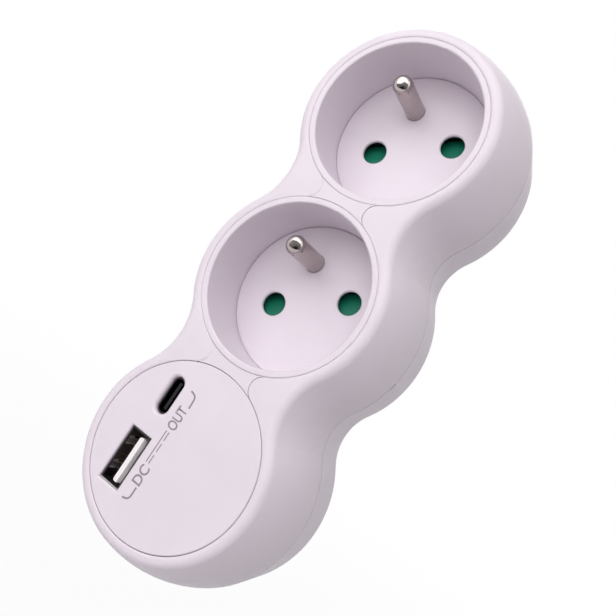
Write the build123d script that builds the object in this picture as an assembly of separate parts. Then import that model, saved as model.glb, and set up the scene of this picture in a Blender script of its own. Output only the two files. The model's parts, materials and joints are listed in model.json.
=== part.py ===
from build123d import *
from math import cos, radians, sin, sqrt, tan
import os

# Plug-in wall adapter: two earthed outlets and a two-port charger lobe in one row.
# Everything is drawn lying on its back, in millimetres: x runs across the row, y up the row and
# z out of the front, with the origin between the plug pins on the face of the plug.
# Each piece is stood upright when it is written, so that the row runs up +Z, the outlets face -Y
# and the plug pins point along +Y.

# Body: three lobes in a row, split into a front housing and a rear cover
front_rim = 2.0
front_draft = 14.3
rear_draft = 6.0
waist_blend_r = 11.1
front_round = 1.75
rear_round = 7.0
body_depth = 37.0
parting_depth = 18.5
wall = 2.0
rear_wall = 2.4
lip_height = 2.0
lip_thickness = 0.9
lip_clearance = 0.15
parting_line_width = 0.3
parting_line_depth = 0.3
pry_notch_y = -5.9
pry_notch_width = 2.0
pry_notch_height = 0.9
pry_notch_depth = 0.8
edge_break = 0.2

# Front opening and the two mouldings that fill it
opening_gap = 2.4
neck_half_width = 6.15
ring_thickness = 2.2
seam = 0.06
plate_seam = 0.16
seam_depth = 0.5
flange_reach = 0.7
flange_thickness = 1.5

# Outlet wells
socket_turn = 30.0
well_r = 19.25
well_depth = 15.0
cup_wall = 1.49
rim_round = 0.4
well_groove_width = 0.25
well_groove_depth = 0.35
floor_thickness = 1.2
contact_spacing = 19.0
contact_hole_r = 2.95
hole_bevel = 0.25

# Earth pins
earth_offset = 10.0
earth_pin_r = 2.4
earth_pin_height = 14.0
earth_pin_tip_round = 1.9
earth_collar_r = 3.75
earth_collar_height = 1.5
pin_fit = 0.05

# Shutters and what guides them
shutter_travel = 6.5
pad_half_length = 3.7
shutter_front = 3.4
shutter_rear = 3.6
shutter_thickness = 3.5
shutter_play = 0.15
ramp_drop = 2.6
ramp_flat = 1.4
bridge_front = 1.0
guide_wall = 1.2
guide_rear_room = 1.0
channel_half_width = 2.3
channel_end = 17.5
retainer_thickness = 1.5
retainer_hole_r = 3.2

# Shutter springs
spring_wire_r = 0.25
spring_wire_sides = 6
spring_turns = 6
spring_peg_r = 1.1
spring_peg_length = 2.0
spring_seat_gap = 0.1

# Busbars and their insulating base
strip_thickness = 0.8
strip_width = 3.8
contact_pad_width = 8.0
contact_pad_length = 7.0
passage_r = 2.8
clip_leaf_thickness = 0.6
clip_leaf_width = 5.0
clip_half_gap = 3.2
clip_pinch = 0.65
clip_flare = 0.35
clip_bend_r = 1.5
clip_bend_limit = 0.22
clip_foot_share = 0.36
clip_mouth_share = 0.28
clip_top_gap = 0.7
base_thickness = 1.8
base_rise = 2.0
base_side_margin = 0.8
base_end_margin = 2.25
base_strip_margin = 0.1
base_corner_r = 1.3
base_rib_start = 20.0
base_rib_pitch = 14.0
base_rib_count = 3
base_rib_length = 16.0
base_rib_thickness = 1.4
base_hole_clearance = 0.3
earth_strip_width = 4.0
earth_tab_r = 3.6
lead_tab_length = 4.0
lead_tab_width = 3.0

# Plug
nose_length = 16.0
nose_r = 18.25
nose_wall = 3.6
nose_face_wall = 2.6
nose_round = 1.0
key_slot_width = 5.4
key_slot_depth = 3.0
pin_spacing = 19.0
pin_r = 2.4
pin_root_r = 2.2
pin_length = 19.0
pin_tip_round = 1.6
pin_collar_r = 3.7
pin_collar_height = 2.0
pin_boss_wall = 1.6
rivet_r = 1.5
rivet_head_r = 2.0
rivet_head_height = 0.7
sleeve_r = 3.0
sleeve_bore_r = 2.45
sleeve_set_back = 0.8
clip_width = 6.0
clip_thickness = 0.8
clip_groove_depth = 1.9
clip_groove_side_room = 0.8
clip_tip_level = 2.5
clip_bulge = 0.7
strap_bend_r = 1.0
clip_tab_width = 4.0
clip_tenon_width = 2.4
clip_tenon_rise = 0.6
slot_clearance = 0.2

# Housing screws
screw_x = 14.5
screw_shank_r = 1.45
screw_head_r = 2.6
screw_head_height = 2.2
screw_grip = 3.0
screw_bite = 9.0
screw_hole_room = 1.0
screw_recess_r = 2.9
screw_fit = 0.05
screw_drive_r = 1.0
screw_drive_depth = 1.3
post_r = 3.0
boss_r = 3.7
boss_set_back = 2.5

# Charger face plate and ports
usb_a_x = -9.6
usb_a_y = -6.9
usb_a_width = 5.7
usb_a_length = 13.1
usb_a_sheet = 0.3
usb_a_tongue_width = 1.55
usb_a_tongue_length = 11.1
usb_a_tongue_gap = 0.9
usb_a_tongue_set_back = 0.3
usb_a_tongue_corner_r = 0.55
usb_contact_width = 1.0
usb_contact_thickness = 0.2
usb_contact_length = 7.5
usb_contact_places = (-3.5, -1.0, 1.0, 3.5)
usb_finger_width = 1.6
usb_finger_length = 4.2
usb_finger_cut = 0.35
usb_finger_y = 3.1
usb_finger_tilt = 6.0
usb_a_lead_in = 0.5
usb_c_x = -9.0
usb_c_y = 9.7
usb_c_width = 3.2
usb_c_length = 9.0
usb_c_sheet = 0.3
usb_c_tongue_width = 0.7
usb_c_tongue_length = 6.7
usb_c_tongue_set_back = 0.6
usb_c_set_back = 0.6
usb_c_lead_in = 0.8
port_clearance = 0.1
port_set_back = 0.5
port_height = 13.7
port_base_height = 4.0
plate_post_r = 2.0
plate_post_ring_r = 17.0
plate_post_angles = (35.0, -35.0, 170.0)
peg_r = 1.0
peg_rise = 0.5

# Charger board and what it carries
board_r = 21.5
board_thickness = 1.6
core_width = 14.0
core_length = 12.0
core_height = 11.0
core_leg = 3.0
core_side_leg = 2.0
core_yoke = 2.6
core_x = 5.0
core_y = -4.5
bobbin_margin = 0.2
bobbin_overhang = 1.2
capacitor_cans = ((-11.0, 4.0, 3.15, 9.0), (-10.5, -8.5, 4.0, 11.5), (-1.0, -16.0, 4.0, 11.5))
capacitor_groove = 0.3
capacitor_groove_width = 0.6
capacitor_groove_level = 1.4
chip_blocks = ((0.0, 8.5, 5.0, 4.0, 1.6), (7.5, -14.5, 6.0, 5.0, 2.4))
lead_r = 0.9
lead_bend_r = 5.0
lead_x = 8.5
lead_end_y = 14.0
hold_down_r = 1.6
well_hold_inset = 1.25
well_hold_angles = (210.0, 330.0)
board_hold_ring_r = 17.5
board_hold_angles = (5.0, 185.0)

# How far a cutting shape runs past the face it cuts
overcut = 1.0

# Levels, measured out from the plug face
back_level = nose_length
front_level = back_level + body_depth
parting_level = front_level - parting_depth
floor_level = front_level - well_depth
floor_back = floor_level - floor_thickness
retainer_top = floor_back - shutter_thickness - 2 * shutter_play
retainer_back = retainer_top - retainer_thickness
ring_back = front_level - ring_thickness
flange_back = ring_back - flange_thickness
inner_back = back_level + rear_wall
base_back = inner_back + base_rise
base_top = base_back + base_thickness
strip_top = base_top + strip_thickness
earth_strip_top = retainer_back - earth_collar_height
earth_strip_back = earth_strip_top - strip_thickness
strap_top = inner_back + clip_thickness
collar_seat = inner_back - pin_collar_height
port_front = front_level - port_set_back
usb_c_front = port_front - usb_c_set_back
board_front = port_front - port_height
board_back = board_front - board_thickness
boss_level = parting_level - boss_set_back
screw_seat = boss_level - screw_grip

# Places worked out from the driving sizes
cup_r = well_r + cup_wall
opening_r = cup_r + seam
lobe_pitch = 2 * opening_r + opening_gap
front_lobe_r = opening_r + front_rim
flange_r = opening_r + flange_reach
lobe_centres = (-lobe_pitch, 0.0, lobe_pitch)
socket_centres = {"upper": lobe_pitch, "lower": 0.0}
charger_y = -lobe_pitch
parting_r = front_lobe_r + parting_depth * tan(radians(front_draft))
half_pitch = lobe_pitch / 2
neck_blend = (neck_half_width**2 + half_pitch**2 - opening_r**2) / (2 * (opening_r - neck_half_width))
contact_x = contact_spacing / 2 * cos(radians(socket_turn))
contact_y = contact_spacing / 2 * sin(radians(socket_turn))
earth_x = -earth_offset * sin(radians(socket_turn))
earth_y = earth_offset * cos(radians(socket_turn))
pin_x = pin_spacing / 2
pad_inner = contact_spacing / 2 - pad_half_length
shutter_half_length = contact_spacing / 2 + pad_half_length
guide_half_length = shutter_half_length + shutter_play
guide_front = shutter_front + shutter_play
guide_rear = shutter_rear + shutter_travel + guide_rear_room
groove_y = nose_r - clip_groove_depth
spring_r = shutter_thickness / 2 - spring_wire_r
well_hold_ring_r = well_r - well_hold_inset
base_half_width = contact_x + strip_width / 2 + base_strip_margin
base_socket_half_width = contact_x + contact_pad_width / 2 + base_side_margin
base_socket_half_height = contact_y + contact_pad_length / 2 + base_end_margin
screw_places = [(x, y) for x in (-screw_x, screw_x) for y in (-half_pitch, half_pitch)]


def slab(sketch, low, high):
    """A flat outline given a thickness between two levels."""
    return extrude(Pos(0, 0, low) * sketch, amount=high - low)


def rod(radius, low, high, x=0.0, y=0.0):
    """A round bar that stands between two levels."""
    return Pos(x, y, low) * Cylinder(radius, high - low, align=(Align.CENTER, Align.CENTER, Align.MIN))


def softened_rod(radius, low, high, x=0.0, y=0.0):
    """A round bar whose front edge is broken, as where a moulding meets its opening."""
    return chamfer(rod(radius, low, high, x, y).edges().sort_by(Axis.Z)[-1], edge_break)


def block(width, length, low, high, x=0.0, y=0.0):
    """A box that stands between two levels."""
    return Pos(x, y, low) * Box(width, length, high - low, align=(Align.CENTER, Align.CENTER, Align.MIN))


def span(x_low, x_high, y_low, y_high):
    """A flat rectangle given by its edges."""
    centre = Pos((x_low + x_high) / 2, (y_low + y_high) / 2)
    return centre * Rectangle(x_high - x_low, y_high - y_low)


def in_socket(shape, centre_y):
    """Puts a piece drawn with its contact holes along x into a turned outlet."""
    return Pos(0, centre_y, 0) * Rot(0, 0, socket_turn) * shape


def in_charger(shape):
    """Puts a piece drawn about the middle of the charger lobe in its place."""
    return Pos(0, charger_y, 0) * shape


def lobed_outline(lobe_r, blend_r):
    """Outline of the row: round lobes joined by concave arcs, each tangent to two lobes."""
    reach = sqrt((lobe_r + blend_r) ** 2 - half_pitch**2)
    touch_x = lobe_r * reach / (lobe_r + blend_r)
    touch_y = lobe_r * half_pitch / (lobe_r + blend_r)
    bottom, top = lobe_centres[0], lobe_centres[-1]
    edges = [ThreePointArc((-touch_x, bottom + touch_y), (0, bottom - lobe_r), (touch_x, bottom + touch_y))]
    for lower, upper in zip(lobe_centres, lobe_centres[1:]):
        waist = (reach - blend_r, (lower + upper) / 2)
        edges.append(ThreePointArc((touch_x, lower + touch_y), waist, (touch_x, upper - touch_y)))
    for centre in lobe_centres[1:-1]:
        lower, upper = centre - touch_y, centre + touch_y
        edges.append(ThreePointArc((touch_x, lower), (lobe_r, centre), (touch_x, upper)))
    edges += [mirror(edge, Plane.YZ) for edge in edges[1:]]
    edges.append(ThreePointArc((touch_x, top - touch_y), (0, top + lobe_r), (-touch_x, top - touch_y)))
    return make_face(edges)


def front_form(inset, height):
    """The drafted front half of the body, drawn in from its skin by an inset."""
    outline = lobed_outline(parting_r - inset, waist_blend_r + inset)
    return Pos(0, 0, parting_level) * extrude(outline, amount=height, taper=front_draft)


def rear_form(inset, height):
    """The drafted rear half of the body, drawn in from its skin by an inset."""
    outline = lobed_outline(parting_r - inset, waist_blend_r + inset)
    return Pos(0, 0, parting_level) * Rot(180, 0, 0) * extrude(outline, amount=height, taper=rear_draft)


def back_edges(form):
    """The edges round the rearmost face of a form."""
    return form.faces().sort_by(Axis.Z)[0].edges()


def parting_line():
    """The fine line cut round the body where its halves meet, with a notch to pry them apart."""
    outer = lobed_outline(parting_r + overcut, waist_blend_r - overcut)
    inner = lobed_outline(parting_r - parting_line_depth, waist_blend_r + parting_line_depth)
    half_line = parting_line_width / 2
    line = slab(outer - inner, parting_level - half_line, parting_level + half_line)
    notch_x = sqrt(parting_r**2 - pry_notch_y**2) - pry_notch_depth
    half_notch = pry_notch_width / 2
    notch = span(notch_x, parting_r + overcut, pry_notch_y - half_notch, pry_notch_y + half_notch)
    return line + slab(notch, parting_level - pry_notch_height, parting_level)


def front_housing():
    outer = front_form(0, parting_depth)
    outer = fillet(outer.faces().sort_by(Axis.Z)[-1].edges(), front_round)
    outer -= parting_line()
    hollow = front_form(wall, parting_depth - ring_thickness)
    hollow += slab(lobed_outline(flange_r + seam, neck_blend - flange_reach - seam), flange_back, ring_back)
    opening = slab(lobed_outline(opening_r, neck_blend), ring_back - overcut, front_level + overcut)
    housing = outer - hollow - opening
    front = housing.faces().sort_by(Axis.Z)[-1]
    housing = chamfer(front.inner_wires()[0].edges(), edge_break)
    for x, y in screw_places:
        housing += rod(post_r, boss_level, ring_back, x, y) & outer
    for x, y in screw_places:
        hole_end = boss_level + screw_bite + screw_hole_room
        housing -= rod(screw_shank_r + screw_fit, boss_level - overcut, hole_end, x, y)
    return housing


def guide_frame():
    """Walls on the back of a well that the shutter and its spring run between."""
    outer = span(-guide_half_length - guide_wall, guide_half_length + guide_wall,
                 -guide_rear - guide_wall, guide_front + guide_wall)
    channel_half = channel_half_width + guide_wall
    outer += span(-channel_half, channel_half, -channel_end - guide_wall, 0)
    inner = span(-guide_half_length, guide_half_length, -guide_rear, guide_front)
    inner += span(-channel_half_width, channel_half_width, -channel_end, 0)
    return outer, inner


def well_form():
    """The hollow of one outlet, with a narrow groove round its floor and a rounded rim."""
    top = front_level + overcut
    groove_r = well_r - well_groove_width
    groove_level = floor_level - well_groove_depth
    rim_r = well_r + rim_round
    rim_level = front_level - rim_round
    profile = Polyline(
        (rim_r, front_level), (rim_r, top), (0, top), (0, floor_level), (groove_r, floor_level),
        (groove_r, groove_level), (well_r, groove_level), (well_r, rim_level))
    rim = RadiusArc((well_r, rim_level), (rim_r, front_level), rim_round)
    section = Plane.XZ * make_face(profile + rim)
    return revolve(section, Axis.Z)


def socket_insert():
    """The two wells and the webs between them, one moulding with a flange behind the front ring."""
    face = slab(lobed_outline(cup_r, neck_blend + seam), ring_back, front_level)
    face -= in_charger(rod(opening_r, ring_back - overcut, front_level + overcut))
    flange = slab(lobed_outline(flange_r, neck_blend - flange_reach), flange_back, ring_back)
    flange -= in_charger(rod(flange_r + seam, flange_back - overcut, front_level))
    insert = face + flange
    for centre in socket_centres.values():
        insert -= rod(opening_r, front_level - seam_depth, front_level + overcut, y=centre)
    for centre in socket_centres.values():
        insert += softened_rod(cup_r, floor_back, front_level, y=centre)
    frame_outer, frame_inner = guide_frame()
    for centre in socket_centres.values():
        insert -= Pos(0, centre, 0) * well_form()
        insert += in_socket(slab(frame_outer - frame_inner, retainer_top, floor_back), centre)
        for x in (-contact_spacing / 2, contact_spacing / 2):
            insert -= in_socket(Pos(x, 0, 0) * contact_hole(), centre)
        pin_hole = rod(earth_pin_r + pin_fit, floor_back - overcut, front_level, y=earth_offset)
        insert -= in_socket(pin_hole, centre)
    return insert


def contact_hole():
    """Hole for one contact pin, with a bevelled mouth."""
    mouth = Cone(contact_hole_r, contact_hole_r + 2 * hole_bevel, 2 * hole_bevel,
                 align=(Align.CENTER, Align.CENTER, Align.MIN))
    hole = rod(contact_hole_r, floor_back - overcut, floor_level)
    return hole + Pos(0, 0, floor_level - hole_bevel) * mouth


def usb_face_plate():
    plate = softened_rod(opening_r - plate_seam, ring_back, front_level)
    plate += rod(flange_r, flange_back, ring_back)
    a_slot = Pos(usb_a_x, usb_a_y) * Rectangle(
        usb_a_width + 2 * port_clearance, usb_a_length + 2 * port_clearance)
    c_slot = Pos(usb_c_x, usb_c_y) * Rot(0, 0, 90) * SlotOverall(
        usb_c_length + 2 * port_clearance, usb_c_width + 2 * port_clearance)
    for slot, lead_in in ((a_slot, usb_a_lead_in), (c_slot, usb_c_lead_in)):
        plate -= slab(slot, flange_back - overcut, front_level + overcut)
        rims = plate.faces().sort_by(Axis.Z)[-1].inner_wires()
        plate = fillet(rims.sort_by(SortBy.LENGTH)[0].edges(), lead_in)
    for x, y in ring_places(plate_post_ring_r, plate_post_angles):
        plate += rod(plate_post_r, board_front, flange_back, x, y)
        plate += rod(peg_r, board_back - peg_rise, board_front, x, y)
    return in_charger(plate)


def ring_places(ring_r, angles):
    """Points on a circle, at the given angles from the x axis."""
    return [(ring_r * cos(radians(angle)), ring_r * sin(radians(angle))) for angle in angles]


def rear_cover():
    height = parting_level - back_level
    skin = rear_form(0, height)
    skin = fillet(back_edges(skin), rear_round)
    hollow = rear_form(wall, height - rear_wall)
    hollow = chamfer(back_edges(hollow), rear_round - wall)
    cover = skin - parting_line() - hollow
    lip_inset = wall + lip_clearance
    lip = front_form(lip_inset, lip_height) - front_form(lip_inset + lip_thickness, lip_height)
    lip_inner = lip_inset + lip_thickness
    root = lobed_outline(parting_r - wall / 2, waist_blend_r + wall / 2)
    root -= lobed_outline(parting_r - lip_inner, waist_blend_r + lip_inner)
    cover += lip
    cover += slab(root, parting_level - lip_height, parting_level)
    nose = fillet(rod(nose_r, 0, back_level + rear_wall / 2).edges().sort_by(Axis.Z)[0], nose_round)
    cover += nose
    cover -= rod(nose_r - nose_wall, nose_face_wall, inner_back + overcut)
    for x in (-pin_x, pin_x):
        cover += rod(pin_collar_r + pin_boss_wall, nose_face_wall / 2, collar_seat, x)
    cover += rod(sleeve_r + pin_boss_wall, nose_face_wall / 2, inner_back, y=earth_offset)
    for side in (-1, 1):
        cover -= block(2 * key_slot_depth, key_slot_width, -overcut, back_level, x=side * nose_r)
        groove_low, groove_high = sorted((side * groove_y, side * (nose_r + overcut)))
        groove_half = clip_width / 2 + clip_groove_side_room
        cover -= slab(span(-groove_half, groove_half, groove_low, groove_high), -overcut, back_level)
        slot_inner = groove_y - strap_bend_r + clip_thickness / 2 - slot_clearance
        slot_outer = groove_y + clip_thickness + slot_clearance
        slot_low, slot_high = sorted((side * slot_inner, side * slot_outer))
        slot_half = clip_width / 2 + slot_clearance
        slot = span(-slot_half, slot_half, slot_low, slot_high)
        cover -= slab(slot, back_level - overcut, inner_back + overcut)
    for x in (-pin_x, pin_x):
        cover -= rod(pin_r + pin_fit, -overcut, collar_seat + overcut, x)
        cover -= rod(pin_collar_r + pin_fit, collar_seat, inner_back + overcut, x)
    cover -= rod(sleeve_r + pin_fit, sleeve_set_back, inner_back + overcut, y=earth_offset)
    cover -= rod(sleeve_bore_r, -overcut, sleeve_set_back + overcut, y=earth_offset)
    for x, y in screw_places:
        cover += rod(boss_r, back_level, parting_level, x, y) & skin
        cover -= rod(boss_r + lip_clearance, boss_level, parting_level + lip_height + overcut, x, y)
        cover -= rod(screw_recess_r, back_level - overcut, screw_seat, x, y)
        cover -= rod(screw_shank_r + screw_fit, screw_seat - overcut, boss_level + overcut, x, y)
    for x, y in ring_places(board_hold_ring_r, board_hold_angles):
        cover += in_charger(rod(hold_down_r, inner_back - rear_wall / 2, board_back, x, y))
    for centre in socket_centres.values():
        for x, y in ring_places(well_hold_ring_r, well_hold_angles):
            cover += rod(hold_down_r, inner_back - rear_wall / 2, floor_back, x, centre + y)
    for number in range(base_rib_count):
        y = base_rib_start + number * base_rib_pitch
        cover += block(base_rib_length, base_rib_thickness, inner_back - rear_wall / 2, base_back, y=y)
    return cover


def earth_pin(centre):
    """Outlet earth pin: rounded tip, collar behind the retainer, riveted to the earth busbar."""
    tip = floor_level + earth_pin_height
    pin = fillet(rod(earth_pin_r, retainer_back, tip).edges().sort_by(Axis.Z)[-1], earth_pin_tip_round)
    pin += rod(earth_collar_r, earth_strip_top, retainer_back)
    pin += rod(rivet_r, earth_strip_back, earth_strip_top)
    pin += rod(rivet_head_r, earth_strip_back - rivet_head_height, earth_strip_back)
    return in_socket(Pos(0, earth_offset, 0) * pin, centre)


def shutter(centre):
    """Slider with a ramp under each contact hole, so that two pins together push it aside."""
    top = floor_back - shutter_play
    bottom = top - shutter_thickness
    ramp = Polyline((-shutter_rear, bottom), (-shutter_rear, top), (-shutter_rear + ramp_flat, top),
                    (shutter_front, top - ramp_drop), (shutter_front, bottom), close=True)
    bar = Rot(0, 0, 90) * Rot(90, 0, 0) * extrude(make_face(ramp), amount=shutter_half_length, both=True)
    gap = span(-pad_inner, pad_inner, bridge_front, shutter_front + overcut)
    bar -= slab(gap, bottom - overcut, top + overcut)
    bar += slab(span(-pad_inner, pad_inner, -shutter_rear, bridge_front), bottom, top)
    peg = Cylinder(spring_peg_r, spring_peg_length, align=(Align.CENTER, Align.CENTER, Align.MIN))
    bar += Pos(0, -shutter_rear, (top + bottom) / 2) * Rot(90, 0, 0) * peg
    return in_socket(bar, centre)


def shutter_spring(centre):
    """Coil spring between the shutter and the end of its channel."""
    start = -shutter_rear - spring_seat_gap - spring_wire_r
    end = -channel_end + spring_seat_gap + spring_wire_r
    length = start - end
    path = Helix(length / spring_turns, length, spring_r)
    section = Plane(path @ 0, z_dir=path % 0) * RegularPolygon(spring_wire_r, spring_wire_sides)
    wire = sweep(section, path=path)
    middle = floor_back - shutter_play - shutter_thickness / 2
    return in_socket(Pos(0, start, middle) * Rot(90, 0, 0) * wire, centre)


def shutter_retainer(centre):
    """Plate that closes the shutter's guide, clamped by the earth pin's collar."""
    outline, _ = guide_frame()
    outline += Pos(0, earth_offset) * Circle(earth_collar_r + guide_wall)
    outline += span(-earth_collar_r, earth_collar_r, 0, earth_offset)
    for x in (-contact_spacing / 2, contact_spacing / 2):
        outline -= Pos(x, 0) * Circle(retainer_hole_r)
    outline -= Pos(0, earth_offset) * Circle(earth_pin_r + pin_fit)
    return in_socket(slab(outline, retainer_back, retainer_top), centre)


def contact_leaf(side):
    """One spring leaf of a contact clip, pinched towards the pin and flared at its mouth."""
    top = retainer_back - clip_top_gap
    height = top - strip_top
    bend_r = min(clip_bend_r, height * clip_bend_limit)
    path = FilletPolyline(
        (side * clip_half_gap, base_top), (side * clip_half_gap, strip_top + height * clip_foot_share),
        (side * (clip_half_gap - clip_pinch), top - height * clip_mouth_share),
        (side * (clip_half_gap + clip_flare), top), radius=bend_r)
    leaf = extrude(trace(path, clip_leaf_thickness), amount=clip_leaf_width / 2, both=True)
    return Rot(90, 0, 0) * leaf


def busbar(side, first_lead_y):
    """Brass strip that links a plug pin with the matching contact clip of each outlet."""
    clips = [centre + side * contact_y for centre in socket_centres.values()]
    x = side * contact_x
    plan = span(x - strip_width / 2, x + strip_width / 2, min(0, *clips), max(clips))
    plan += Pos(side * pin_x, 0) * Circle(earth_tab_r)
    lead_low = first_lead_y - lead_tab_length
    plan += span(side * lead_x - lead_tab_width / 2, side * lead_x + lead_tab_width / 2, lead_low, 0)
    for y in clips:
        plan += Pos(x, y) * Rectangle(contact_pad_width, contact_pad_length)
    for y in clips:
        plan -= Pos(x, y) * Circle(passage_r)
    plan -= Pos(side * pin_x, 0) * Circle(rivet_r)
    bar = slab(plan, base_top, strip_top)
    for y in clips:
        bar += Pos(x, y, 0) * contact_leaf(-1)
        bar += Pos(x, y, 0) * contact_leaf(1)
    return bar


def earth_busbar():
    """Strip that links both earth pins with the tab of the plug's earth clip."""
    ends = [centre + earth_y for centre in socket_centres.values()]
    half = earth_strip_width / 2
    plan = span(-half, half, -half - clip_thickness, max(ends) + half)
    for y in ends:
        plan += span(earth_x, 0, y - half, y + half)
        plan += Pos(earth_x, y) * Circle(earth_tab_r)
    for y in ends:
        plan -= Pos(earth_x, y) * Circle(rivet_r)
    plan -= Rectangle(clip_tenon_width + slot_clearance, clip_thickness + slot_clearance)
    return slab(plan, earth_strip_back, earth_strip_top)


def contact_base():
    """Insulating tray under the busbars, with clearance for the pins of an inserted plug."""
    top_y = max(socket_centres.values()) + base_socket_half_height
    plan = span(-base_half_width, base_half_width, -base_socket_half_height, top_y)
    for centre in socket_centres.values():
        plan += Pos(0, centre) * Rectangle(2 * base_socket_half_width, 2 * base_socket_half_height)
    plan = fillet(plan.vertices(), base_corner_r)
    for centre in socket_centres.values():
        for side in (-1, 1):
            place = Pos(side * contact_x, centre + side * contact_y)
            plan -= place * Circle(passage_r + base_hole_clearance)
    for side in (-1, 1):
        plan -= Pos(side * pin_x, 0) * Circle(rivet_r + pin_fit)
    plan -= Rectangle(clip_tab_width + 2 * slot_clearance, clip_thickness + 2 * slot_clearance)
    return slab(plan, base_back, base_top)


def plug_pin(side):
    """Solid plug pin: rounded tip, collar in the cover, shank riveted through base and busbar."""
    pin = fillet(rod(pin_r, -pin_length, 0).edges().sort_by(Axis.Z)[0], pin_tip_round)
    pin += rod(pin_root_r, 0, collar_seat)
    pin += rod(pin_collar_r, collar_seat, inner_back)
    pin += rod(pin_root_r, inner_back, base_back)
    pin += rod(rivet_r, base_back, strip_top)
    pin += rod(rivet_head_r, strip_top, strip_top + rivet_head_height)
    return Pos(side * pin_x, 0, 0) * pin


def plug_earth_sleeve():
    """Tube that takes the earth pin of a wall outlet, riveted to the earth clip."""
    sleeve = rod(sleeve_r, sleeve_set_back, inner_back)
    sleeve -= rod(sleeve_bore_r, sleeve_set_back - overcut, inner_back - clip_thickness)
    sleeve += rod(rivet_r, inner_back, strap_top)
    sleeve += rod(rivet_head_r, strap_top, strap_top + rivet_head_height)
    return Pos(0, earth_offset, 0) * sleeve


def plug_earth_clip():
    """Folded strap: side contacts of the plug, a cross strip inside and a tab up to the busbar."""
    arm_y = groove_y + clip_thickness / 2
    strap_level = inner_back + clip_thickness / 2
    half = [(arm_y, clip_tip_level), (arm_y + clip_bulge, (clip_tip_level + back_level) / 2),
            (arm_y, back_level - strap_bend_r), (arm_y, strap_level)]
    points = half + [(-y, level) for y, level in reversed(half)]
    strip = extrude(trace(FilletPolyline(*points, radius=strap_bend_r), clip_thickness),
                    amount=clip_width / 2, both=True)
    clip = Rot(0, 0, 90) * Rot(90, 0, 0) * strip
    clip += block(clip_tab_width, clip_thickness, strap_top, earth_strip_back)
    clip += block(clip_tenon_width, clip_thickness, earth_strip_back, earth_strip_top + clip_tenon_rise)
    clip -= rod(rivet_r, inner_back - overcut, strap_top + overcut, y=earth_offset)
    return clip


def housing_screws():
    """Four screws, put in from the rear down the cover's recesses."""
    screws = []
    for x, y in screw_places:
        screw = rod(screw_head_r, screw_seat - screw_head_height, screw_seat, x, y)
        screw += rod(screw_shank_r, screw_seat, boss_level + screw_bite, x, y)
        head_face = screw_seat - screw_head_height
        drive = RegularPolygon(screw_drive_r, 6)
        screw -= Pos(x, y, 0) * slab(drive, head_face - overcut, head_face + screw_drive_depth)
        screws.append(screw)
    return Part() + screws


def usb_a_shell():
    """Folded sheet shell of the larger port, with two bent spring fingers in each long side."""
    inner_width = usb_a_width - 2 * usb_a_sheet
    inner_length = usb_a_length - 2 * usb_a_sheet
    shell = block(usb_a_width, usb_a_length, board_front, port_front)
    shell -= block(inner_width, inner_length, board_front - overcut, port_front + overcut)
    finger_root = port_front - 2 * usb_a_sheet
    window_width = usb_finger_width + 2 * usb_finger_cut
    finger = block(usb_a_sheet, usb_finger_width, usb_finger_cut - usb_finger_length, usb_a_sheet)
    for y in (-usb_finger_y, usb_finger_y):
        shell -= block(2 * usb_a_width, window_width, finger_root - usb_finger_length, finger_root, y=y)
        for side in (-1, 1):
            root = Pos(side * (usb_a_width - usb_a_sheet) / 2, y, finger_root)
            shell += root * Rot(0, side * usb_finger_tilt, 0) * finger
    return in_charger(Pos(usb_a_x, usb_a_y, 0) * shell)


def usb_a_tongue_x():
    """Middle of the tongue, measured from the middle of its port."""
    return usb_a_width / 2 - usb_a_sheet - usb_a_tongue_gap - usb_a_tongue_width / 2


def usb_a_tongue():
    """Insulator of the larger port: a block at the board and the tongue that carries the contacts."""
    inner_width = usb_a_width - 2 * usb_a_sheet
    inner_length = usb_a_length - 2 * usb_a_sheet
    body = block(inner_width, inner_length, board_front, board_front + port_base_height)
    top = port_front - usb_a_tongue_set_back
    outline = RectangleRounded(usb_a_tongue_width, usb_a_tongue_length, usb_a_tongue_corner_r)
    blade = slab(Pos(usb_a_tongue_x(), 0) * outline, board_front, top)
    return in_charger(Pos(usb_a_x, usb_a_y, 0) * (body + blade))


def usb_a_contacts():
    """Four contact strips on the face of the tongue."""
    face_x = usb_a_tongue_x() - usb_a_tongue_width / 2 - usb_contact_thickness / 2
    low = board_front + port_base_height
    strips = [in_charger(Pos(usb_a_x, usb_a_y, 0) * block(
        usb_contact_thickness, usb_contact_width, low, low + usb_contact_length, face_x, y))
        for y in usb_contact_places]
    return Part() + strips


def usb_c_shell():
    """Drawn steel shell of the smaller port."""
    outer = SlotOverall(usb_c_length, usb_c_width)
    inner = SlotOverall(usb_c_length - 2 * usb_c_sheet, usb_c_width - 2 * usb_c_sheet)
    shell = slab(outer - inner, board_front, usb_c_front)
    return in_charger(Pos(usb_c_x, usb_c_y, 0) * Rot(0, 0, 90) * shell)


def usb_c_tongue():
    """Insulator of the smaller port: a block at the board and a thin tongue in the middle."""
    inner = SlotOverall(usb_c_length - 2 * usb_c_sheet, usb_c_width - 2 * usb_c_sheet)
    body = slab(inner, board_front, board_front + port_base_height)
    blade = block(usb_c_tongue_length, usb_c_tongue_width, board_front, usb_c_front - usb_c_tongue_set_back)
    return in_charger(Pos(usb_c_x, usb_c_y, 0) * Rot(0, 0, 90) * (body + blade))


def usb_board():
    outline = Circle(board_r)
    for x, y in ring_places(plate_post_ring_r, plate_post_angles):
        outline -= Pos(x, y) * Circle(peg_r + pin_fit)
    return in_charger(slab(outline, board_back, board_front))


def transformer_core():
    """E-shaped ferrite halves as one block with two windows for the winding."""
    low = board_back - core_height
    core = block(core_width, core_length, low, board_back, core_x, core_y)
    window = (core_width - core_leg - 2 * core_side_leg) / 2
    for side in (-1, 1):
        x = core_x + side * (core_leg / 2 + window / 2)
        core -= block(window, core_length + overcut, low + core_yoke, board_back - core_yoke, x, core_y)
    return in_charger(core)


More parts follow.
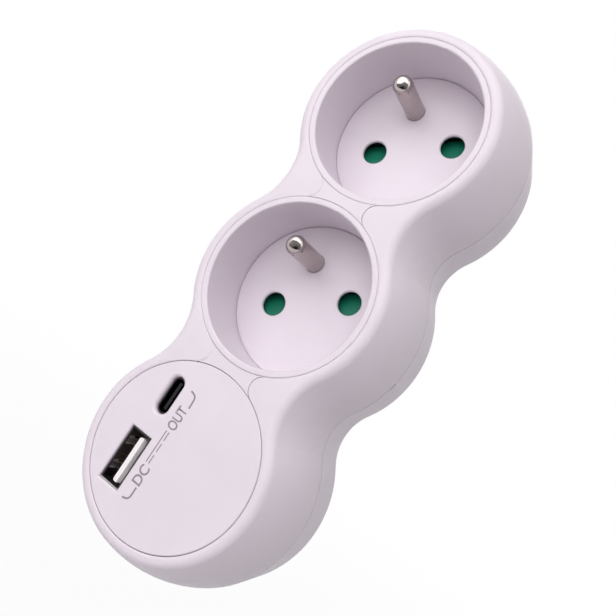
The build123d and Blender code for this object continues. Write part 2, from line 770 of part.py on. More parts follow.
def transformer_winding():
    """Wound bobbin round the middle leg of the core."""
    low = board_back - core_height + core_yoke + bobbin_margin
    high = board_back - core_yoke - bobbin_margin
    window = (core_width - core_leg - 2 * core_side_leg) / 2
    reach = core_leg + 2 * window - 2 * bobbin_margin
    winding = block(reach, core_length + 2 * bobbin_overhang, low, high, core_x, core_y)
    hole_width = core_leg + 2 * bobbin_margin
    hole_length = core_length + 2 * bobbin_margin
    winding -= block(hole_width, hole_length, low - overcut, high + overcut, core_x, core_y)
    return in_charger(winding)


def board_capacitors():
    """Electrolytic cans on the back of the board."""
    cans = []
    for x, y, radius, height in capacitor_cans:
        can = rod(radius, board_back - height, board_back, x, y)
        high = board_back - capacitor_groove_level
        low = high - capacitor_groove_width
        can -= rod(radius + overcut, low, high, x, y) - rod(radius - capacitor_groove, low, high, x, y)
        cans.append(in_charger(can))
    return Part() + cans


def board_chips():
    """Controller and rectifier packages on the back of the board."""
    chips = [in_charger(block(width, length, board_back - height, board_back, x, y))
             for x, y, width, length, height in chip_blocks]
    return Part() + chips


def board_leads():
    """Insulated leads from the busbars' tabs to the board."""
    level = strip_top + lead_r
    end_y = charger_y + lead_end_y
    leads = []
    for side, start_y in ((1, live_lead_y), (-1, neutral_lead_y)):
        x = side * lead_x
        path = FilletPolyline((x, start_y, level), (x, end_y, level), (x, end_y, board_back),
                              radius=lead_bend_r)
        leads.append(sweep(Plane(path @ 0, z_dir=path % 0) * Circle(lead_r), path=path))
    return Part() + leads


# Where each busbar's lead tab begins, clear of the rivet or clip above it
live_lead_y = -earth_tab_r
neutral_lead_y = -contact_y - contact_pad_length / 2

nodes = {
    "front_housing": front_housing(),
    "socket_insert": socket_insert(),
    "usb_face_plate": usb_face_plate(),
    "rear_cover": rear_cover(),
    "housing_screws": housing_screws(),
    "live_busbar": busbar(1, live_lead_y),
    "neutral_busbar": busbar(-1, neutral_lead_y),
    "earth_busbar": earth_busbar(),
    "contact_base": contact_base(),
    "live_plug_pin": plug_pin(1),
    "neutral_plug_pin": plug_pin(-1),
    "plug_earth_sleeve": plug_earth_sleeve(),
    "plug_earth_clip": plug_earth_clip(),
    "usb_a_shell": usb_a_shell(),
    "usb_a_tongue": usb_a_tongue(),
    "usb_a_contacts": usb_a_contacts(),
    "usb_c_shell": usb_c_shell(),
    "usb_c_tongue": usb_c_tongue(),
    "usb_board": usb_board(),
    "transformer_core": transformer_core(),
    "transformer_winding": transformer_winding(),
    "board_capacitors": board_capacitors(),
    "board_chips": board_chips(),
    "board_leads": board_leads(),
}
for name, centre in socket_centres.items():
    nodes[f"{name}_earth_pin"] = earth_pin(centre)
    nodes[f"{name}_shutter"] = shutter(centre)
    nodes[f"{name}_shutter_spring"] = shutter_spring(centre)
    nodes[f"{name}_shutter_retainer"] = shutter_retainer(centre)

os.makedirs("parts", exist_ok=True)
for name, shape in nodes.items():
    export_step(Rot(90, 0, 0) * shape, f"parts/{name}.step")
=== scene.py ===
import json
from math import cos, radians, sin, tau

import bmesh
import bpy
from mathutils import Euler, Matrix, Vector

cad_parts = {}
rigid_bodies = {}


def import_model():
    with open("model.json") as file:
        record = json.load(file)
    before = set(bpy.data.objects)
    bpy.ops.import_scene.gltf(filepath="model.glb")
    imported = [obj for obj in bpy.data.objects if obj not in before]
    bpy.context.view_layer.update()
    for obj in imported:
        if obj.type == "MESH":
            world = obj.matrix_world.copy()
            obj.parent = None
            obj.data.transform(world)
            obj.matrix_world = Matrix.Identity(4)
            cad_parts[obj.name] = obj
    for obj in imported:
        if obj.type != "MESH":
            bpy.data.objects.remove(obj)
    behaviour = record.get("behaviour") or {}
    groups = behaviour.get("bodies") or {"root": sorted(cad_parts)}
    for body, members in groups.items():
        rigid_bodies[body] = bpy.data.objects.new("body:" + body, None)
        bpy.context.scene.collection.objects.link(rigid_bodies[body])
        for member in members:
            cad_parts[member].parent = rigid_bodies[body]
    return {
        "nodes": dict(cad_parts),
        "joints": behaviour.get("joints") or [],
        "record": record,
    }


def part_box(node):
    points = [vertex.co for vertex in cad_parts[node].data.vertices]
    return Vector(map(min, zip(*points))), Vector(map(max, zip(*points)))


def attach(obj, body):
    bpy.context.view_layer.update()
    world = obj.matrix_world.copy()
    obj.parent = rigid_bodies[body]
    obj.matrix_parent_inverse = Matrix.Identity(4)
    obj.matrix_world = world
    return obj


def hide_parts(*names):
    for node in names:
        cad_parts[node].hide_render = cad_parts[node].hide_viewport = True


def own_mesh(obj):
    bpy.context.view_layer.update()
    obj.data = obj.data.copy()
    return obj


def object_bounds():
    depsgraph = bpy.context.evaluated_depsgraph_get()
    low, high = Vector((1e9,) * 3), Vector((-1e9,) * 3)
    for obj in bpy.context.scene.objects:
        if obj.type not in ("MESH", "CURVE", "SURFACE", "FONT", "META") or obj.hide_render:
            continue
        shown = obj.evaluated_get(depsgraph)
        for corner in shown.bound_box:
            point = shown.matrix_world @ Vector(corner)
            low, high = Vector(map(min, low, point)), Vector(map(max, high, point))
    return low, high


# Plug-in wall adapter: its finishes, the fuller sides of its front housing, the bevelled tongue of its
# larger port, the print by its ports, its shutter springs, and the light and camera around it.
# Everything is in metres, in the frame of the solids: the row runs up +Z, the outlets face -Y
# and the plug pins point along +Y.

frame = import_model()
cad_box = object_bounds()
mm = 0.001

# Finishes, by material slot. Colours are linear
full_white = (1, 1, 1, 1)
full_black = (0, 0, 0, 1)
plastics = {
    "white_plastic": dict(colour=(0.77, 0.71, 0.77), roughness=0.46),
    "shutter_green": dict(colour=(0.009, 0.180, 0.105), roughness=0.34, grain=0.3 * mm, patch=4 * mm),
    "inner_plastic": dict(colour=(0.62, 0.58, 0.50), roughness=0.5),
    "port_white": dict(colour=(0.90, 0.86, 0.87), roughness=0.38, patch=4 * mm),
    "port_black": dict(colour=(0.012, 0.011, 0.012), roughness=0.42, patch=3 * mm),
    "chip": dict(colour=(0.018, 0.018, 0.019), roughness=0.55, grain=0.1 * mm, patch=2 * mm),
    "can_sleeve": dict(colour=(0.016, 0.018, 0.030), roughness=0.28, patch=3 * mm),
    "lead_insulation": dict(colour=(0.32, 0.016, 0.012), roughness=0.42, patch=3 * mm),
    "ferrite": dict(
        colour=(0.050, 0.048, 0.046), roughness=0.62, grain=0.25 * mm, grain_depth=0.02 * mm, patch=2 * mm),
}
metals = {
    "nickel": dict(colour=(0.50, 0.44, 0.43), roughness=0.14, stretch=(12, 1, 12)),
    "spring_steel": dict(colour=(0.52, 0.52, 0.53), roughness=0.28, stretch=(1, 6, 1)),
    "screw_steel": dict(colour=(0.56, 0.55, 0.52), roughness=0.30, stretch=(8, 1, 8)),
    "brass": dict(colour=(0.74, 0.53, 0.22), roughness=0.27, stretch=(1, 1, 14)),
    "contact_gold": dict(colour=(0.83, 0.60, 0.24), roughness=0.22, stretch=(1, 10, 1)),
}

# How the finishes vary: the part of a noise that a ramp follows, then flow patches in plastic,
# and drawing marks and stains in metal
noise_span = (0.3, 0.7)
fine_detail = 3.0
flow_shade = 0.965
flow_gloss = 0.05
gloss_share = 0.25
metal_mark = 0.12 * mm
metal_relief = 0.0006 * mm
metal_stain = 2.5 * mm
metal_shade = 0.9
metal_gloss = (-0.04, 0.06)

# Charger board and the tape round its transformer: the board's tracks are in millimetres
track_length = 6.0
track_pitch = 1.6
track_gap = 0.2
track_relief = 0.03 * mm
board_tones = ((0.012, 0.085, 0.030), (0.020, 0.130, 0.048))
board_gloss = (0.30, 0.42)
board_patch = 1.5 * mm
tape_bands = 0.35 / mm
tape_waver = 0.6
tape_relief = 0.03 * mm
tape_tones = ((0.60, 0.36, 0.035), (0.72, 0.46, 0.055))
tape_gloss = (0.28, 0.42)
tape_patch = 1.2 * mm

# Contact holes: shade painted dark deep inside them, where little light reaches
hole_spacing = 19 * mm
hole_reach = 7.0 * mm
painted_shade_depth = (0.70 * mm, 1.00 * mm)
painted_shade_colour = (0.006, 0.009, 0.011)

# Larger port: the bevel along its tongue as (across, deep), and the highlights painted on its shell's lower
# lip and on the spring fingers in its long sides, whose middles are duller than their edges
tongue_bevel = (0.4 * mm, 1.0 * mm)
shell_dark = (0.13, 0.12, 0.125)
shell_bright = (0.80, 0.78, 0.78)
shell_stretch = (1, 12, 1)
shell_gloss = (0.26, 0.36)
lip_height = 0.45 * mm
finger_place = 3.1 * mm
finger_width = 1.6 * mm
finger_start = 0.6 * mm
finger_edge = 0.3 * mm
finger_dull = 0.55

# Print on the charger's face: places as (across, up the row) from the middle of the disc
ink_look = dict(colour=(0.30, 0.25, 0.29), roughness=0.5, grain=0.08 * mm, patch=1.2 * mm)
print_height = 0.02 * mm
print_line = 0.25 * mm
hook_line = 0.42 * mm
letter_size = 3.5 * mm
letter_weight = 0.06 * mm
first_word = ("DC", -3.55 * mm, -9.7 * mm, -5.3 * mm)
second_word = ("OUT", -3.85 * mm, 4.0 * mm, 9.4 * mm)
symbol_across = -4.5 * mm
symbol_gap = 0.8 * mm
symbol_span = (-4.6 * mm, 3.3 * mm)
symbol_dashes = 3
dash_share = 0.72
lower_hook = ((-4.63 * mm, -13.61 * mm), (-2.91 * mm, -13.2 * mm), (-2.91 * mm, -10.18 * mm))
upper_hook = ((-2.95 * mm, 9.9 * mm), (-3.1 * mm, 12.9 * mm), (-4.82 * mm, 13.25 * mm))
hook_bend = 8
hook_round = 0.6

# Swelling of the front housing's side walls: tilts are the forward part of a face's normal
wall_swell = 1.05 * mm
wall_rows = 10
wall_tilt = (-0.34, -0.15)
flat_tilt = -0.985

# Changed meshes: how near vertices count as one, how near a plane they count as on it, and the angles
# between faces that count as flat and as smooth
weld_gap = 1e-4 * mm
plane_gap = 1e-3 * mm
flat_angle = radians(0.5)
smooth_angle = radians(30)

# Shutter springs
spring_wire = 0.25 * mm
spring_turns = 8
spring_closed_turns = 1.0
spring_closed_pitch = 2.1 * spring_wire
spring_steps = 28
spring_sides = 10
spring_play = 0.05 * mm

# Camera, light, the dark card for reflections, and the floor
camera_place = (0.08473, -0.20703, -0.00832)
camera_turn = (94.671, -33.376, 22.734)
camera_sensor = 36.0
camera_lens = 47.168
camera_shift = (-0.04676, -0.01723)
camera_near = 0.01
ambient = 0.20
ambient_colour = (1.0, 0.86, 0.96)
light_distance = 0.9
softboxes = {
    "key": dict(direction=(-0.09, -0.866, 0.49), size=(1.35, 1.0), power=9.75),
    "fill": dict(direction=(0.70, -0.10, 0.70), size=(0.68, 0.68), power=1.35),
    "back": dict(direction=(-0.55, 0.78, 0.30), size=(0.9, 0.9), power=3.4),
}
flag_direction = (0.25, -0.86, -0.44)
flag_distance = 0.24
flag_size = 0.85
flag_sides = 48
flag_fade = (0.08, 0.18)
flag_tones = (0.01, 0.25)
floor_colour = (0.65, 0.64, 0.65)
floor_drop = 0.06
floor_size = 4.0
floor_share = 0.95
floor_fade = (0.15, 0.7)


def add_node(tree, kind, settings=None, inputs=None):
    """A shader node with its settings, and its inputs as plain values or other nodes' outputs."""
    node = tree.nodes.new("ShaderNode" + kind)
    for name, value in (settings or {}).items():
        setattr(node, name, value)
    for name, value in (inputs or {}).items():
        if isinstance(value, bpy.types.NodeSocket):
            tree.links.new(value, node.inputs[name])
        else:
            node.inputs[name].default_value = value
    return node


def calculate(tree, operation, *values):
    """The result of an operation on plain numbers or other nodes' outputs."""
    return add_node(tree, "Math", {"operation": operation}, dict(enumerate(values))).outputs[0]


def rescale(tree, value, source, target):
    """A number taken from one range to another, and held inside it."""
    return add_node(tree, "MapRange", inputs={
        "Value": value, "From Min": source[0], "From Max": source[1],
        "To Min": target[0], "To Max": target[1]}).outputs["Result"]


def object_place(tree):
    """The place on the object, in its own frame."""
    return add_node(tree, "TexCoord").outputs["Object"]


def noise(tree, place, size, detail=2.0, stretch=(1, 1, 1)):
    """Noise whose patches are about as large as the size given, or longer where stretched."""
    scale = [1 / (size * times) for times in stretch]
    scaled = add_node(tree, "Mapping", inputs={"Vector": place, "Scale": scale})
    return add_node(tree, "TexNoise", inputs={
        "Vector": scaled.outputs["Vector"], "Scale": 1.0, "Detail": detail}).outputs["Fac"]


def tones(tree, value, dark, light):
    """A colour between two tones, following a noise or another share."""
    ramp = add_node(tree, "ValToRGB", inputs={"Fac": value})
    for element, position, colour in zip(ramp.color_ramp.elements, noise_span, (dark, light)):
        element.position = position
        element.color = (*colour, 1.0)
    return ramp.outputs["Color"]


def shade(colour, share):
    """A colour darkened to a share of itself."""
    return tuple(channel * share for channel in colour)


def start_material(name):
    """A new material, its node tree, its surface shader and the place on the object."""
    material = bpy.data.materials.new(name)
    material.use_nodes = True
    tree = material.node_tree
    return material, tree, tree.nodes["Principled BSDF"], object_place(tree)


def set_surface(tree, shader, colour, roughness, height, depth, metallic=0.0):
    """Links a colour, a roughness and a relief of the given depth to the surface shader."""
    bump = add_node(tree, "Bump", inputs={"Height": height, "Distance": depth})
    tree.links.new(colour, shader.inputs["Base Color"])
    tree.links.new(roughness, shader.inputs["Roughness"])
    tree.links.new(bump.outputs["Normal"], shader.inputs["Normal"])
    shader.inputs["Metallic"].default_value = metallic


def moulded_plastic(name, colour, roughness, grain=0.16 * mm, grain_depth=0.004 * mm, patch=14 * mm):
    """Plastic with the fine matt grain of its mould, and faint flow patches in its colour and gloss."""
    material, tree, shader, place = start_material(name)
    patches = noise(tree, place, patch, detail=fine_detail)
    colours = tones(tree, patches, shade(colour, flow_shade), colour)
    limits = (roughness - flow_gloss, roughness + flow_gloss)
    gloss = rescale(tree, noise(tree, place, patch * gloss_share), noise_span, limits)
    set_surface(tree, shader, colours, gloss, noise(tree, place, grain), grain_depth)
    return material


def hole_axes():
    """Places of the four contact holes' axes, which lie across the way the shutters slide."""
    slide = Vector(frame["joints"][0]["deforming_nodes"][0]["axis"]).normalized()
    across = slide.cross((0, 1, 0)) * hole_spacing / 2
    outlets = [mount for mount in frame["record"]["mounts"] if mount["name"].endswith("_outlet")]
    return [Vector(outlet["pos_m"]) + across * side for outlet in outlets for side in (-1, 1)]


def well_plastic(name):
    """The white plastic of the wells, with shade painted dark deep inside the contact holes."""
    material = moulded_plastic(name, **plastics["white_plastic"])
    tree = material.node_tree
    base = tree.nodes["Principled BSDF"].inputs["Base Color"]
    clean = base.links[0].from_socket
    place = object_place(tree)
    level = add_node(tree, "VectorMath", {"operation": "MULTIPLY"}, {0: place, 1: (1, 0, 1)})
    axes = hole_axes()
    nearest = hole_spacing
    for axis in axes:
        away = add_node(tree, "VectorMath", {"operation": "DISTANCE"},
                        {0: level.outputs["Vector"], 1: (axis.x, 0, axis.z)})
        nearest = calculate(tree, "MINIMUM", away.outputs["Value"], nearest)
    inside = calculate(tree, "LESS_THAN", nearest, hole_reach)
    depth = add_node(tree, "SeparateXYZ", inputs={"Vector": place}).outputs["Y"]
    deep = rescale(tree, depth, [axes[0].y + limit for limit in painted_shade_depth], (0, 1))
    # Painted shade: the plastic turns near black deep inside each contact hole, where light hardly reaches
    with_painted_shade = add_node(tree, "MixRGB", inputs={
        "Fac": calculate(tree, "MULTIPLY", inside, deep), "Color1": clean, "Color2": (*painted_shade_colour, 1)})
    tree.links.new(with_painted_shade.outputs["Color"], base)
    return material


def plated_metal(name, colour, roughness, stretch):
    """Metal with fine drawing or turning marks that run the way they are stretched."""
    material, tree, shader, place = start_material(name)
    marks = noise(tree, place, metal_mark, detail=fine_detail, stretch=stretch)
    stains = noise(tree, place, metal_stain, detail=fine_detail)
    colours = tones(tree, stains, shade(colour, metal_shade), colour)
    gloss = rescale(tree, marks, noise_span, [roughness + change for change in metal_gloss])
    set_surface(tree, shader, colours, gloss, marks, metal_relief, metallic=1.0)
    return material


def port_metal(name):
    """Dark plated sheet with painted highlights: bright on the larger port's lower lip and along the edges of
    its spring fingers.
    """
    material, tree, shader, place = start_material(name)
    marks = noise(tree, place, metal_mark, detail=fine_detail, stretch=shell_stretch)
    low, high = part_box("usb_a_shell")
    along = add_node(tree, "SeparateXYZ", inputs={"Vector": place}).outputs
    # Painted highlights: the lower lip and the fingers' edges are coloured bright as if they caught the light
    lip = rescale(tree, along["Z"], (low.z, low.z + lip_height), (1, 0))
    away = calculate(tree, "ABSOLUTE", calculate(tree, "SUBTRACT", along["Z"], (low.z + high.z) / 2))
    finger = calculate(tree, "COMPARE", away, finger_place, finger_width / 2)
    middle = calculate(tree, "COMPARE", away, finger_place, finger_width / 2 - finger_edge)
    shine = calculate(tree, "MULTIPLY_ADD", middle, -finger_dull, finger)
    behind_edge = calculate(tree, "GREATER_THAN", along["Y"], low.y + finger_start)
    painted_glint = calculate(tree, "MAXIMUM", lip, calculate(tree, "MULTIPLY", shine, behind_edge))
    colours = tones(tree, painted_glint, shell_dark, shell_bright)
    gloss = rescale(tree, marks, noise_span, shell_gloss)
    set_surface(tree, shader, colours, gloss, marks, metal_relief, metallic=1.0)
    return material


def circuit_board(name):
    """Green solder resist over the faint relief of its tracks."""
    material, tree, shader, place = start_material(name)
    turned = add_node(tree, "Mapping", inputs={"Vector": place, "Rotation": (radians(90), 0, 0)})
    tracks = add_node(tree, "TexBrick", inputs={
        "Vector": turned.outputs["Vector"], "Scale": 1 / mm, "Brick Width": track_length,
        "Row Height": track_pitch, "Mortar Size": track_gap,
        "Color1": full_white, "Color2": full_white, "Mortar": full_black}).outputs["Color"]
    gloss = rescale(tree, noise(tree, place, board_patch), noise_span, board_gloss)
    set_surface(tree, shader, tones(tree, tracks, *board_tones), gloss, tracks, track_relief)
    return material


def wound_tape(name):
    """Yellow film tape, wound in overlapping layers."""
    material, tree, shader, place = start_material(name)
    layers = add_node(tree, "TexWave", {"bands_direction": "Y"}, {
        "Vector": place, "Scale": tape_bands, "Distortion": tape_waver, "Detail": 1.0}).outputs["Fac"]
    gloss = rescale(tree, noise(tree, place, tape_patch), noise_span, tape_gloss)
    set_surface(tree, shader, tones(tree, layers, *tape_tones), gloss, layers, tape_relief)
    return material


def dress_nodes():
    """Gives each node the finish of its slot, and the socket insert the one with painted shade in its holes.
    """
    for subpart in frame["record"]["subparts"]:
        for material_slot in frame["nodes"][subpart["node"]].material_slots:
            material_slot.material = finishes[subpart["material_slot"]]
    with_painted_shade = well_plastic("well_plastic")
    for material_slot in frame["nodes"]["socket_insert"].material_slots:
        material_slot.material = with_painted_shade


def new_mesh(name, shape):
    """A mesh of the given shape, which is then done with."""
    mesh = bpy.data.meshes.new(name)
    shape.to_mesh(mesh)
    shape.free()
    return mesh


def add_object(name, data):
    """A new object in the scene."""
    thing = bpy.data.objects.new(name, data)
    bpy.context.scene.collection.objects.link(thing)
    return thing


def add_piece(name, mesh, material, body):
    """Puts a new piece of the adapter in the scene, riding on a body."""
    piece = add_object(name, mesh)
    mesh.materials.clear()
    mesh.materials.append(material)
    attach(piece, body)
    return piece


def strip_faces(shape, points, width):
    """Adds a flat line of constant width along points to a shape, in its xy plane."""
    rows = []
    for index, point in enumerate(points):
        ahead = points[min(index + 1, len(points) - 1)] - points[max(index - 1, 0)]
        side = Vector((-ahead.y, ahead.x, 0)).normalized() * width / 2
        rows.append([shape.verts.new(point + side), shape.verts.new(point - side)])
    for (left, right), (next_left, next_right) in zip(rows, rows[1:]):
        shape.faces.new((left, right, next_right, next_left))


def hook_points(corners):
    """A line through three corners whose middle one is rounded off."""
    start, corner, end = [Vector((up, -across, 0)) for across, up in corners]
    reach = min((start - corner).length, (end - corner).length) * hook_round
    first = corner + (start - corner).normalized() * reach
    last = corner + (end - corner).normalized() * reach
    bend = []
    for step in range(hook_bend + 1):
        share = step / hook_bend
        bend.append(first.lerp(corner, share).lerp(corner.lerp(last, share), share))
    return [start, *bend, end]


def word_mesh(text, across, low, high):
    """A word as flat letters, fitted between two places along the row."""
    curve = bpy.data.curves.new(text, "FONT")
    curve.body = text
    curve.size = letter_size
    curve.offset = letter_weight
    curve.align_y = "CENTER"
    source = bpy.data.objects.new(text, curve)
    mesh = bpy.data.meshes.new_from_object(source)
    bpy.data.objects.remove(source)
    bpy.data.curves.remove(curve)
    left = min(vertex.co.x for vertex in mesh.vertices)
    right = max(vertex.co.x for vertex in mesh.vertices)
    fit = Matrix.Diagonal(((high - low) / (right - left), 1, 1, 1)) @ Matrix.Translation((-left, 0, 0))
    mesh.transform(Matrix.Translation((low, -across, 0)) @ fit)
    return mesh


def port_print():
    """Marks beside the ports: two words, a direct current sign between them and a hook at each end."""
    shape = bmesh.new()
    for word in (first_word, second_word):
        mesh = word_mesh(*word)
        shape.from_mesh(mesh)
        bpy.data.meshes.remove(mesh)
    for hook in (lower_hook, upper_hook):
        strip_faces(shape, hook_points(hook), hook_line)
    low, high = symbol_span
    strip_faces(shape, [Vector((x, -symbol_across, 0)) for x in (low, high)], print_line)
    pitch = (high - low) / (symbol_dashes - 1 + dash_share)
    for number in range(symbol_dashes):
        start = low + number * pitch
        dash = [Vector((x, -symbol_across - symbol_gap, 0)) for x in (start, start + pitch * dash_share)]
        strip_faces(shape, dash, print_line)
    mesh = new_mesh("port_print", shape)
    low_corner, high_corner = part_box("usb_face_plate")
    middle = (low_corner + high_corner) / 2
    # Drawn flat: its x comes to run up the row, its y towards -X, and it faces -Y
    stand_up = Matrix(((0, -1, 0, 0), (0, 0, -1, 0), (1, 0, 0, 0), (0, 0, 0, 1)))
    mesh.transform(Matrix.Translation((middle.x, low_corner.y - print_height, middle.z)) @ stand_up)
    ink = moulded_plastic("print_ink", **ink_look)
    add_piece("port_print", mesh, ink, "housing")


def spring_mesh(name, start, directions, length, radius):
    """Round wire wound into a coil whose first and last turns lie close."""
    axis, across, other = directions
    open_turns = spring_turns - 2 * spring_closed_turns
    open_length = length - 2 * spring_wire - 2 * spring_closed_turns * spring_closed_pitch
    shape = bmesh.new()
    rings = []
    for step in range(spring_turns * spring_steps + 1):
        turn = step / spring_steps
        low_turns = min(turn, spring_closed_turns)
        high_turns = max(turn - (spring_turns - spring_closed_turns), 0)
        open_part = (turn - low_turns - high_turns) / open_turns
        height = spring_wire + (low_turns + high_turns) * spring_closed_pitch + open_part * open_length
        outward = across * cos(tau * turn) + other * sin(tau * turn)
        centre = start + axis * height + outward * radius
        ring = []
        for side in range(spring_sides):
            angle = tau * side / spring_sides
            ring.append(shape.verts.new(centre + (outward * cos(angle) + axis * sin(angle)) * spring_wire))
        rings.append(ring)
    for ring, next_ring in zip(rings, rings[1:]):
        for side in range(spring_sides):
            after = (side + 1) % spring_sides
            face = shape.faces.new((ring[side], ring[after], next_ring[after], next_ring[side]))
            face.smooth = True
    shape.faces.new(rings[0])
    shape.faces.new(rings[-1])
    bmesh.ops.recalc_face_normals(shape, faces=shape.faces)
    return new_mesh(name, shape)


def span_along(node, direction):
    """The lowest and the highest place of a node along a direction."""
    reach = [vertex.co.dot(direction) for vertex in frame["nodes"][node].data.vertices]
    return min(reach), max(reach)


def shutter_spring(joint):
    """The coil that a shutter's slide presses together, in the place of its plain solid."""
    held = joint["deforming_nodes"][0]
    node = held["node"]
    axis = Vector(held["axis"]).normalized()
    across = axis.orthogonal().normalized()
    other = axis.cross(across)
    (low, high), (left, right), sides = [span_along(node, way) for way in (axis, across, other)]
    length = high - low
    radius = (right - left) / 2 - spring_wire
    start = axis * (low + spring_play) + across * (left + right) / 2 + other * sum(sides) / 2
    coil_name = node + "_coil"
    mesh = spring_mesh(coil_name, start, (axis, across, other), length - 2 * spring_play, radius)
    coil = add_piece(coil_name, mesh, finishes["spring_steel"], joint["parent"])
    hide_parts(node)
    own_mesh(coil)


def node_shape(node):
    """A copy of a node's shape that can be changed, with its doubled vertices joined."""
    shape = bmesh.new()
    shape.from_mesh(frame["nodes"][node].data)
    bmesh.ops.remove_doubles(shape, verts=shape.verts, dist=weld_gap)
    return shape


def cut(shape, parts, place, direction):
    """Divides parts of a shape along a plane and keeps both sides."""
    bmesh.ops.bisect_plane(shape, geom=parts, dist=plane_gap, plane_co=place, plane_no=direction)


def stand_in(name, shape, node, slot):
    """Puts a shape in the place of a node of the housing, smooth but for its sharp edges."""
    for face in shape.faces:
        face.smooth = True
    mesh = new_mesh(name, shape)
    mesh.set_sharp_from_angle(angle=smooth_angle)
    piece = add_piece(name, mesh, finishes[slot], "housing")
    piece.modifiers.new("normals", "WEIGHTED_NORMAL").keep_sharp = True
    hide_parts(node)


def bevelled_tongue():
    """The larger port's tongue with the bevel along its front edge that leads a plug in."""
    shape = node_shape("usb_a_tongue")
    bmesh.ops.dissolve_limit(shape, angle_limit=flat_angle, verts=shape.verts, edges=shape.edges)
    front = min(vertex.co.y for vertex in shape.verts)
    side = max(vertex.co.x for vertex in shape.verts if vertex.co.y < front + plane_gap)
    across, deep = tongue_bevel
    for place, direction in (((side - across, 0, 0), (1, 0, 0)), ((0, front + deep, 0), (0, 1, 0))):
        cut(shape, [*shape.verts, *shape.edges, *shape.faces], place, direction)
    for vertex in shape.verts:
        if vertex.co.y < front + plane_gap:
            vertex.co.y += deep * max(vertex.co.x - side + across, 0) / across
    bmesh.ops.remove_doubles(shape, verts=shape.verts, dist=plane_gap)
    bmesh.ops.recalc_face_normals(shape, faces=shape.faces)
    stand_in("usb_a_tongue_bevelled", shape, "usb_a_tongue", "port_white")


def is_wall(face):
    """True for the drafted outer side of the front housing: only there does a face lean forward a little."""
    return wall_tilt[0] < face.normal.y < wall_tilt[1]


def outer_skin(shape):
    """The drafted side of the front housing, and the rounding that joins it smoothly up to the flat front."""
    skin = {face for face in shape.faces if is_wall(face)}
    border = list(skin)
    while border:
        face = border.pop()
        for edge in face.edges:
            for other in edge.link_faces:
                smooth = face.normal.angle(other.normal, 0) < smooth_angle
                if other not in skin and smooth and flat_tilt < other.normal.y < 0:
                    skin.add(other)
                    border.append(other)
    return [face for face in shape.faces if face in skin]


def swelled_housing():
    """The front housing with its sides rounded out a little between the parting line and the front edge."""
    low_corner, high_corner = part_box("front_housing")
    front, depth = low_corner.y, high_corner.y - low_corner.y
    shape = node_shape("front_housing")
    for row in range(1, wall_rows):
        shape.normal_update()
        walls = [face for face in shape.faces if is_wall(face)]
        around = dict.fromkeys(part for face in walls for part in (*face.edges, *face.verts))
        cut(shape, [*walls, *around], (0, front + depth * row / wall_rows, 0), (0, 1, 0))
    shape.normal_update()
    outward = {}
    for face in outer_skin(shape):
        lean = Vector((face.normal.x, 0, face.normal.z)) * face.calc_area()
        for vertex in face.verts:
            outward[vertex] = outward.get(vertex, Vector()) + lean
    for vertex, lean in outward.items():
        # A parabola: nothing at the front and at the parting line, all of the swelling half way
        share = (vertex.co.y - front) / depth
        vertex.co += lean.normalized() * wall_swell * 4 * share * (1 - share)
    stand_in("front_housing_shell", shape, "front_housing", "white_plastic")


def view_rays(tree):
    """One for rays from the camera or from a mirror or glass, and nothing for the rest."""
    path = add_node(tree, "LightPath")
    shown = path.outputs["Is Camera Ray"]
    for kind in ("Is Glossy Ray", "Is Transmission Ray"):
        shown = calculate(tree, "MAXIMUM", shown, path.outputs[kind])
    return shown


def set_world():
    """Even light from all round, which looks white itself."""
    world = bpy.data.worlds.new("studio")
    bpy.context.scene.world = world
    world.use_nodes = True
    tree = world.node_tree
    tree.nodes.clear()
    soft = add_node(tree, "Background", inputs={"Color": (*ambient_colour, 1), "Strength": ambient})
    shown = add_node(tree, "Background", inputs={"Color": full_white, "Strength": 1.0})
    mix = add_node(tree, "MixShader", inputs={
        0: view_rays(tree), 1: soft.outputs["Background"], 2: shown.outputs["Background"]})
    add_node(tree, "OutputWorld", inputs={"Surface": mix.outputs[0]})


def stage_material(name):
    """A new material with no shader yet, its node tree and the distance from the object's middle."""
    material = bpy.data.materials.new(name)
    material.use_nodes = True
    tree = material.node_tree
    tree.nodes.clear()
    away = add_node(tree, "VectorMath", {"operation": "LENGTH"}, {0: object_place(tree)})
    return material, tree, away.outputs["Value"]


def set_floor():
    """A pale floor below the adapter that is nearly white in view and keeps a faint shadow."""
    material, tree, away = stage_material("floor")
    matt = add_node(tree, "BsdfDiffuse", inputs={"Color": (*floor_colour, 1)})
    glow = add_node(tree, "Emission", inputs={"Color": full_white, "Strength": 1.0})
    white_share = rescale(tree, away, floor_fade, (floor_share, 1))
    mix = add_node(tree, "MixShader", inputs={
        0: calculate(tree, "MULTIPLY", view_rays(tree), white_share),
        1: matt.outputs["BSDF"], 2: glow.outputs["Emission"]})
    add_node(tree, "OutputMaterial", inputs={"Surface": mix.outputs[0]})
    shape = bmesh.new()
    bmesh.ops.create_grid(shape, x_segments=1, y_segments=1, size=floor_size / 2)
    floor = add_object("floor", new_mesh("floor", shape))
    floor.data.materials.append(material)
    floor.location.z = cad_box[0].z - floor_drop


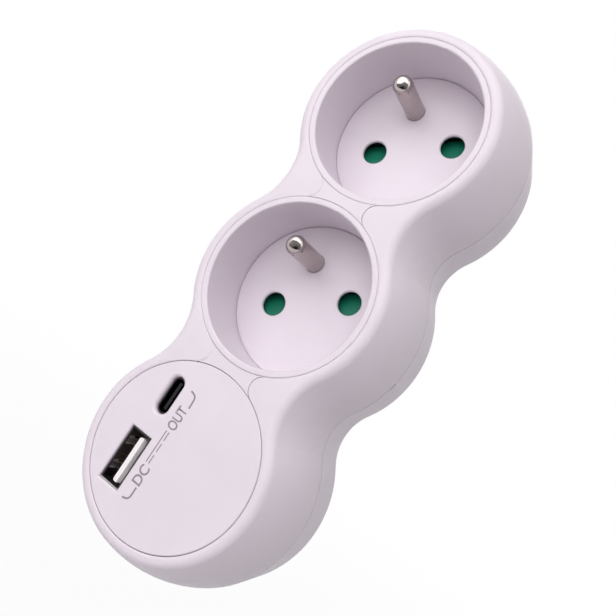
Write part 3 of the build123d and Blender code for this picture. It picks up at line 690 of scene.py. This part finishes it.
def face_middle(thing, direction, distance):
    """Puts a light or a card at a distance from the middle of the adapter, facing it."""
    outward = Vector(direction).normalized()
    thing.location = (cad_box[0] + cad_box[1]) / 2 + outward * distance
    thing.rotation_euler = outward.to_track_quat("Z", "Y").to_euler()


def add_softbox(name, direction, size, power):
    """A broad light that faces the middle of the adapter."""
    light = bpy.data.lights.new(name, "AREA")
    light.shape = "RECTANGLE"
    light.size, light.size_y = size
    light.energy = power
    face_middle(add_object(name, light), direction, light_distance)


def add_flag():
    """A dark card in front, seen only in reflections: it gives the plated pins their dark core."""
    material, tree, away = stage_material("flag")
    tone = rescale(tree, away, flag_fade, flag_tones)
    card = add_node(tree, "Emission", inputs={"Color": full_white, "Strength": tone})
    add_node(tree, "OutputMaterial", inputs={"Surface": card.outputs["Emission"]})
    shape = bmesh.new()
    bmesh.ops.create_circle(shape, cap_ends=True, segments=flag_sides, radius=flag_size / 2)
    flag = add_object("flag", new_mesh("flag", shape))
    flag.data.materials.append(material)
    face_middle(flag, flag_direction, flag_distance)
    flag.visible_camera = False
    flag.visible_diffuse = False
    flag.visible_shadow = False
    flag.visible_transmission = False


def set_camera():
    """The photograph's view, with colours shown as they are."""
    camera = bpy.data.cameras.new("camera")
    camera.sensor_width = camera_sensor
    camera.lens = camera_lens
    camera.shift_x, camera.shift_y = camera_shift
    camera.clip_start = camera_near
    viewer = add_object("camera", camera)
    viewer.location = camera_place
    viewer.rotation_euler = Euler([radians(turn) for turn in camera_turn], "XYZ")
    bpy.context.scene.camera = viewer
    bpy.context.scene.view_settings.view_transform = "Standard"


finishes = {name: moulded_plastic(name, **look) for name, look in plastics.items()}
finishes.update({name: plated_metal(name, **look) for name, look in metals.items()})
finishes["port_steel"] = port_metal("port_steel")
finishes["board"] = circuit_board("board")
finishes["winding_tape"] = wound_tape("winding_tape")
dress_nodes()
swelled_housing()
bevelled_tongue()
port_print()
for joint in frame["joints"]:
    shutter_spring(joint)
set_world()
set_floor()
for name, settings in softboxes.items():
    add_softbox(name, **settings)
add_flag()
set_camera()
